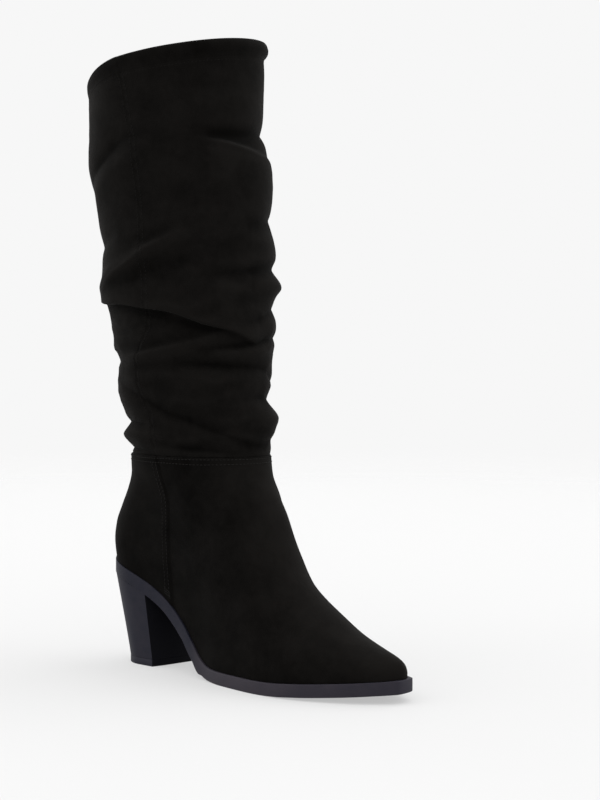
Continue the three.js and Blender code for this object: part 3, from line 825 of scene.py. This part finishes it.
def shaft_base(level, angle, out):
    """A point of the shaft. level: 0 at the ankle seam, 1 at the collar. angle: 0 at the front."""
    length = mix(ankle_length, collar_length, run["grow"](level)) / 2
    width = mix(ankle_width, collar_width, run["wide"](level)) / 2
    middle = mix(ankle_forward, collar_forward, run["back"](level))
    tilt = tilt_forward * np.cos(angle) + tilt_inward * np.sin(angle)
    dip = collar_dip * np.maximum(0, -np.cos(angle)) ** 1.5
    x = middle + (length + out) * np.cos(angle)
    y = (width + out) * np.sin(angle)
    z = mix(ankle_height, collar_height + tilt - dip, level)
    return np.stack(np.broadcast_arrays(x, y, z), -1)


# %% [markdown]
# Between its folds soft suede is never quite even. Noise adds that: a slow swell, and fine crinkles that
# lie across the leg, strongest where the shaft has slid down. Along the two seams the layers draw in
# to a groove, and the thread gathers them into small puckers. Each noise has a size across the leg, a
# size up it and a seed.

# %% Wrinkles and seams of the shaft
WARP, SWELL, CRINKLE, FINE, WAVER = (34, 20, 3.7), (45, 26, 9.1), (26, 13, 5.3), (9, 6, 1.9), (60, 30, 7.7)
GROOVE_DEPTH, GROOVE_WIDTH = 0.2 * MM, 0.8 * MM
PUCKER_DEPTH, PUCKER_REACH, PUCKER_STEP = 0.14 * MM, 6 * MM, 1.25 * MM
LAP_INSET, LAP_LEVEL = 0.8 * MM, 0.014


def seam_distance(level, angle):
    """Signed distance round the leg to the nearer of the two seams."""
    width = mix(ankle_width, collar_width, run["wide"](level)) / 2
    sides = []
    for name in ("outer", "inner"):
        away = angle - np.radians(seams[name](level))
        sides.append((away - 2 * np.pi * np.round(away / (2 * np.pi))) * width)
    return np.where(np.abs(sides[0]) < np.abs(sides[1]), *sides)


def shaft_form(level, angle):
    """How far the wall of the shaft stands out at a place, and how far it hangs down there."""
    level, angle = np.broadcast_arrays(level, angle)
    still = shaft_base(level, angle, 0)
    shifted = level + 0.010 * cloudy(still, *WARP)
    depth, drop = fold_depth(shifted, np.degrees(angle))
    width = mix(ankle_width, collar_width, run["wide"](level)) / 2
    slouch = np.exp(-((level - 0.2) / 0.24) ** 2)
    swell = 1.0 * MM * cloudy(still, *SWELL)
    crinkle = (0.5 - np.abs(cloudy(still, *CRINKLE))) * mix(0.3 * MM, 1.5 * MM, slouch)
    fine = cloudy(still, *FINE) * mix(0.08 * MM, 0.2 * MM, slouch)
    away = seam_distance(level, angle)
    groove = -GROOVE_DEPTH * np.exp(-((away / GROOVE_WIDTH) ** 2))
    phase = still[..., 2] / PUCKER_STEP + 1.5 * np.sign(away)
    wave = np.sin(phase + 6 * cloudy(still, *WAVER))
    pucker = PUCKER_DEPTH * wave * np.exp(-((away / PUCKER_REACH) ** 2))
    calm = np.clip(level / LAP_LEVEL, 0, 1)
    out = width * depth + swell + crinkle + fine + groove + pucker
    return mix(-LAP_INSET, out, calm), drop * calm * shaft_height


def shaft_face(level, angle, lift=0.0):
    """A point on the outer face of the shaft, lifted off it if wished."""
    out, drop = shaft_form(level, angle)
    point = shaft_base(level, angle, out + lift)
    point[..., 2] -= drop
    return point


# %% [markdown]
# The columns of points follow the two seams, so that the groove and its stitches are never cut across by
# a face. They stand closer beside the seams than in the middle of a panel. The inner face needs fewer
# rings, and keeps behind the deepest of the outer rings near it, so the wall stays whole in the creases.
# Crests get a painted highlight and creases painted shade: how far a point stands out from the mean
# of the rings near it. On top of that the whole shaft is a little lighter than the foot.

# %% The shaft
PANEL_COLUMNS, SHAFT_RINGS, INNER_STEP = 124, 300, 6
SHAFT_LIGHTER, CREST_RINGS, CREST_DEPTH = 0.3, 10, 1.2 * MM
binding_level = 1 - binding_height / shaft_height


def shaft_columns(level):
    """Angles round the leg: down the back panel from the outer seam, and on round the front panel."""
    steps = np.ones(PANEL_COLUMNS)
    steps[:4] = steps[-4:] = 0.35
    share = np.concatenate([[0], np.cumsum(steps)[:-1]]) / steps.sum()
    outer, inner = np.radians(seams["outer"](level)), np.radians(seams["inner"](level)) - 2 * np.pi
    return np.concatenate([mix(outer, inner, share), mix(inner, outer - 2 * np.pi, share)], -1)


def lap_ring(angle, distance):
    """A ring of the shaft's lap, inside the upper below the ankle seam."""
    level = 1 - lap_depth / (ankle_height - upper_seat)
    turn = -angle % (2 * np.pi)
    side = np.where(turn < np.pi, -1.0, 1.0)
    return foot_offset(level, np.where(turn < np.pi, turn, 2 * np.pi - turn), side, distance)


def blurred(values, reach):
    """The mean over some rings above and below."""
    padded = np.pad(values, ((reach, reach), (0, 0)), "edge")
    return sum(padded[i: i + len(values)] for i in range(2 * reach + 1)) / (2 * reach + 1)


def shaft():
    low, top = gap / shaft_height, binding_level - gap / shaft_height
    level = mix(low, top, (np.arange(SHAFT_RINGS + 1) / SHAFT_RINGS) ** 1.25)[:, None]
    angle = shaft_columns(level)
    out, drop = shaft_form(level, angle)
    face = shaft_base(level, angle, out)
    face[..., 2] -= drop
    lap, hem, first = wall + gap, wall + 3 * gap, angle[0]
    skirt = [lap_ring(first, -hem), *[shaft_base(place, first, -lap) for place in (0, low)]]
    lined = [*[shaft_base(place, first, -lap - wall) for place in (low, 0)], lap_ring(first, -hem - wall)]
    thin = np.min([np.roll(out, shift, 0) for shift in range(-INNER_STEP, INNER_STEP + 1)], 0)
    back = shaft_base(level, angle, thin - wall)[INNER_STEP + 2::INNER_STEP][::-1]
    piece = skin("shaft_suede", [*skirt, *face, *back, *lined])
    painted_light_and_shade, start = np.zeros(len(piece.data.vertices)), len(skirt) * len(first)
    # Painted light and shade: lighter on crests, darker in creases.
    crest_light_and_shade = SHAFT_LIGHTER + (out - blurred(out, CREST_RINGS)) / CREST_DEPTH
    painted_light_and_shade[start: start + out.size] = crest_light_and_shade.ravel()
    keep(piece, "painted_light_and_shade", painted_light_and_shade)
    return piece


dress(shaft(), black_suede, "suede", "shaft")

# %% [markdown]
# The collar's edge is turned over and stitched down, which makes a soft, slightly thicker band. Its
# section starts flush with the shaft, swells out over the fold and rounds over the rim. The band is a
# little thicker at the front, where its ends meet.

# %% The turned collar
def collar_band():
    angle = shaft_columns(np.array([1.0]))
    thinnest, thickest, thick_side, tucked = 0.65, 2.0, 0.7, 0.12
    proud = binding_proud * mix(thinnest, thickest, ((1 + np.cos(angle - thick_side)) / 2) ** 2)
    band = binding_height / shaft_height
    rim = proud / shaft_height * 1.3

    def band_ring(level, lift):
        return shaft_base(level, angle, shaft_form(level, angle)[0] + lift).reshape(-1, 3)

    rings = []
    for share in np.linspace(-tucked, 1, 14):
        level = binding_level + (band - rim) * share
        ease = np.clip(share / 0.8, 0, 1)
        swell = ease * ease * (3 - 2 * ease)
        rings.append(band_ring(level, mix(0.1 * MM, proud, swell)))
    for turn in np.linspace(0.12, 1, 8):
        sweep = math.pi * turn
        level = 1 - rim + rim * math.sin(sweep)
        rings.append(band_ring(level, mix(-wall, 0.88 * proud, (1 + math.cos(sweep)) / 2)))
    rings.append(band_ring(binding_level - tucked * band, -wall - 0.1 * MM))
    return skin("collar_band", rings)


dress(collar_band(), black_suede, "suede", "collar_binding")
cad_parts["insole"].data.materials.clear()
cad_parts["insole"].data.materials.append(lining_leather)

# %% [markdown]
# Thread holds the seams. Geometry Nodes lays it. Each row is a line on the surface, which the tree cuts
# into equal steps, and on each step it sets one short rounded stitch that lies along the line.

# %% A row of stitches
def stitch_tree():
    tree = bpy.data.node_groups.new("stitch_row", "GeometryNodeTree")
    tree.interface.new_socket("Geometry", in_out="OUTPUT", socket_type="NodeSocketGeometry")
    kinds = ("Geometry", "Float", "Float", "Float", "Material")
    for name, kind in zip(("Rows", "Pitch", "Length", "Thickness", "Thread"), kinds):
        tree.interface.new_socket(name, in_out="INPUT", socket_type="NodeSocket" + kind)

    def add(kind, inputs, **settings):
        node = tree.nodes.new(kind)
        for key, value in settings.items():
            setattr(node, key, value)
        for key, value in inputs.items():
            if isinstance(value, bpy.types.NodeSocket):
                tree.links.new(value, node.inputs[key])
            else:
                node.inputs[key].default_value = value
        return node.outputs

    given = tree.nodes.new("NodeGroupInput").outputs
    lines = add("GeometryNodeMeshToCurve", {"Mesh": given["Rows"]})[0]
    steps = add("GeometryNodeResampleCurve", {"Curve": lines, "Length": given["Pitch"]}, mode="LENGTH")[0]
    tangent = add("GeometryNodeInputTangent", {})[0]
    along_row = add("FunctionNodeAlignRotationToVector", {"Vector": tangent}, axis="X")[0]
    bead = add("GeometryNodeMeshUVSphere", {"Segments": 6, "Rings": 5, "Radius": 0.5})[0]
    thick = given["Thickness"]
    size = add("ShaderNodeCombineXYZ", {"X": given["Length"], "Y": thick, "Z": thick})[0]
    inputs = {"Points": steps, "Instance": bead, "Rotation": along_row, "Scale": size}
    beads = add("GeometryNodeInstanceOnPoints", inputs)[0]
    real = add("GeometryNodeRealizeInstances", {"Geometry": beads})[0]
    smooth = add("GeometryNodeSetShadeSmooth", {"Geometry": real})[0]
    done = add("GeometryNodeSetMaterial", {"Geometry": smooth, "Material": given["Thread"]})[0]
    tree.links.new(done, tree.nodes.new("NodeGroupOutput").inputs[0])
    return tree


stitch_row = stitch_tree()


def stitches(name, rows, thread, pitch, length, thickness):
    """One object with the stitches of some rows. A row whose last point is its first is a closed one."""
    points, edges, start = np.concatenate(rows), [], 0
    for row in rows:
        edges += [(start + i, start + i + 1) for i in range(len(row) - 1)]
        start += len(row)
    mesh = bpy.data.meshes.new(name)
    mesh.from_pydata(points.tolist(), edges, [])
    piece = bpy.data.objects.new(name, mesh)
    bpy.context.scene.collection.objects.link(piece)
    modifier = piece.modifiers.new(name, "NODES")
    modifier.node_group = stitch_row
    inputs = [item for item in stitch_row.interface.items_tree if item.in_out == "INPUT"]
    sockets = {item.name: item.identifier for item in inputs}
    sizes = {"Pitch": pitch, "Length": length, "Thickness": thickness, "Thread": thread}
    for socket, value in sizes.items():
        modifier[sockets[socket]] = value
    made = bpy.data.meshes.new_from_object(piece.evaluated_get(bpy.context.evaluated_depsgraph_get()))
    piece.modifiers.clear()
    piece.data = made
    return dress(piece, None, "suede")


# %% [markdown]
# Two rows run round the upper below the ankle seam, and two down each side seam, which end in a bar tack
# at the sole. Two more go up each seam of the shaft, and one goes round below the collar's fold. That one
# sinks into the nap, so it barely shows.

# %% Thread on the foot and the shaft
def rim_row(below):
    """A row on the upper at a distance below its top edge."""
    angle = np.linspace(0, np.pi, 90)
    height = ankle_height - mix(upper_seat, upper_sole, (1 + np.cos(angle)) / 2)
    level = 1 - below / height
    lift = np.where(angle > seam_angle(level), quarter_step, 0) + 0.1 * MM
    outer, inner = foot_offset(level, angle, -1, lift), foot_offset(level, angle, 1, lift)
    return np.concatenate([outer, inner[-2::-1]])


def behind_seam(level, behind):
    """Angle on the foot that lies some distance behind the side seam's edge."""
    back_x, front_x = foot_ends(level)
    return np.arccos(np.cos(seam_angle(level)) - 2 * behind / (front_x - back_x))


def side_row(side, behind, low=0.06, high=0.94):
    level = np.linspace(low, high, 60)
    return foot_offset(level, behind_seam(level, behind), side, quarter_step + 0.1 * MM)


def tack_rows(side):
    """A short block of close stitches across the lower end of the two side rows."""
    rows = []
    for level in (0.045, 0.058, 0.071, 0.084):
        behind = np.linspace(1.2 * MM, 6.6 * MM, 4)
        rows.append(foot_offset(level, behind_seam(level, behind), side, quarter_step + 0.15 * MM))
    return rows


def shaft_row(name, away):
    level = np.linspace(0.02, binding_level - 0.02, 240)
    width = mix(ankle_width, collar_width, run["wide"](level)) / 2
    return shaft_face(level, np.radians(seams[name](level)) + away / width, 0.03 * MM)


foot_rows = [rim_row(1.3 * MM), rim_row(4.4 * MM)]
foot_rows += [side_row(side, behind) for side in (-1, 1) for behind in (1.9 * MM, 5.8 * MM)]
shaft_rows = [shaft_row(name, away) for name in ("outer", "inner") for away in (-1.8 * MM, 1.8 * MM)]
round_collar = np.linspace(0, 2 * np.pi, 241)
shaft_rows.append(shaft_face(binding_level - 0.012, round_collar, -0.12 * MM))
print("rows of stitches:", len(foot_rows), "on the foot and", len(shaft_rows), "on the shaft")
stitch_pitch, stitch_length, tack_pitch = 2.7 * MM, 2.1 * MM, 1.3 * MM
stitches("foot_stitches", foot_rows, foot_thread, stitch_pitch, stitch_length, 0.5 * MM)
stitches("shaft_stitches", shaft_rows, shaft_thread, stitch_pitch, stitch_length, 0.45 * MM)
stitches("bar_tacks", tack_rows(-1) + tack_rows(1), foot_thread, tack_pitch, tack_pitch, 0.5 * MM)

# %% [markdown]
# The photograph was taken from in front of the outer side, with a level camera at half the boot's
# height. The camera's place was worked out from points whose real place on the boot is known. The
# horizon lies above the picture's middle, which is done with a shift of the lens.

# %% Camera
picture_height, focal_pixels, horizon_row = 800, 1521, 358.2
view_turn, view_distance, view_aside, view_height = math.radians(40.45), 1.119, 0.1041, 0.2219

camera = bpy.data.objects.new("camera", bpy.data.cameras.new("camera"))
bpy.context.scene.collection.objects.link(camera)
bpy.context.scene.camera = camera
camera.data.lens = camera.data.sensor_width * focal_pixels / picture_height
right = Vector((math.cos(view_turn), math.sin(view_turn), 0))
forward = Vector((-math.sin(view_turn), math.cos(view_turn), 0))
camera.location = right * view_aside - forward * view_distance + Vector((0, 0, view_height))
camera.rotation_euler = (math.pi / 2, 0, view_turn)
camera.data.shift_y = -(picture_height / 2 - horizon_row) / picture_height
camera.data.clip_end = 50
print("lens, mm:", round(camera.data.lens, 1))

# %% [markdown]
# A boot for a catalogue stands on pale paper under wide, soft lamps. The paper here gives off a little
# light of its own, so that the boot's shadow on it stays pale, and it fades out between half a metre and
# three metres from the boot. A white world fills in the shade. Three wide suns draw the form: one from
# each side for the edges, and one from above.

# %% Floor and light
FADE_START, FADE_END = 0.5, 3.0


def studio_floor():
    finish = Finish("pale_floor")
    place = finish.node("ShaderNodeTexCoord")["Object"]
    reach = finish.node("ShaderNodeVectorMath", {"operation": "LENGTH"}, {0: place})["Value"]
    fade = finish.node("ShaderNodeMapRange", {"interpolation_type": "SMOOTHERSTEP"},
                       {0: reach, 1: FADE_START, 2: FADE_END, 3: 1.0, 4: 0.0})[0]
    paper = finish.surface(
        Base_Color=(0.27, 0.27, 0.27, 1),
        Emission_Color=(0.46, 0.46, 0.46, 1),
        Emission_Strength=1.0,
        Roughness=0.9,
        Specular_IOR_Level=0.1,
        Alpha=fade,
    )
    bpy.ops.mesh.primitive_circle_add(vertices=96, radius=3.2, fill_type="NGON")
    floor = bpy.context.active_object
    floor.name = "floor"
    floor.data.materials.append(paper)


def soft_sun(name, turn, lift, spread, power):
    """A wide, far light from a side and a height, seen from the camera. 0 is behind the camera."""
    light = bpy.data.lights.new(name, "SUN")
    light.energy, light.angle = power, math.radians(spread)
    lamp = bpy.data.objects.new(name, light)
    bpy.context.scene.collection.objects.link(lamp)
    around = view_turn - math.pi / 2 + math.radians(turn)
    up = math.radians(lift)
    aim = Vector((math.cos(around) * math.cos(up), math.sin(around) * math.cos(up), math.sin(up)))
    lamp.location = aim * 3
    lamp.rotation_euler = aim.to_track_quat("Z", "Y").to_euler()


studio_floor()
world = bpy.data.worlds.new("studio")
bpy.context.scene.world = world
world.use_nodes = True
backdrop = world.node_tree.nodes["Background"]
backdrop.inputs["Color"].default_value = (1, 1, 1, 1)
backdrop.inputs["Strength"].default_value = 0.93
soft_sun("left_sun", -105, 30, 80, 1.3)
soft_sun("right_sun", 100, 30, 80, 1.3)
soft_sun("top_sun", 40, 80, 90, 1.5)
bpy.context.scene.view_settings.view_transform = "Standard"
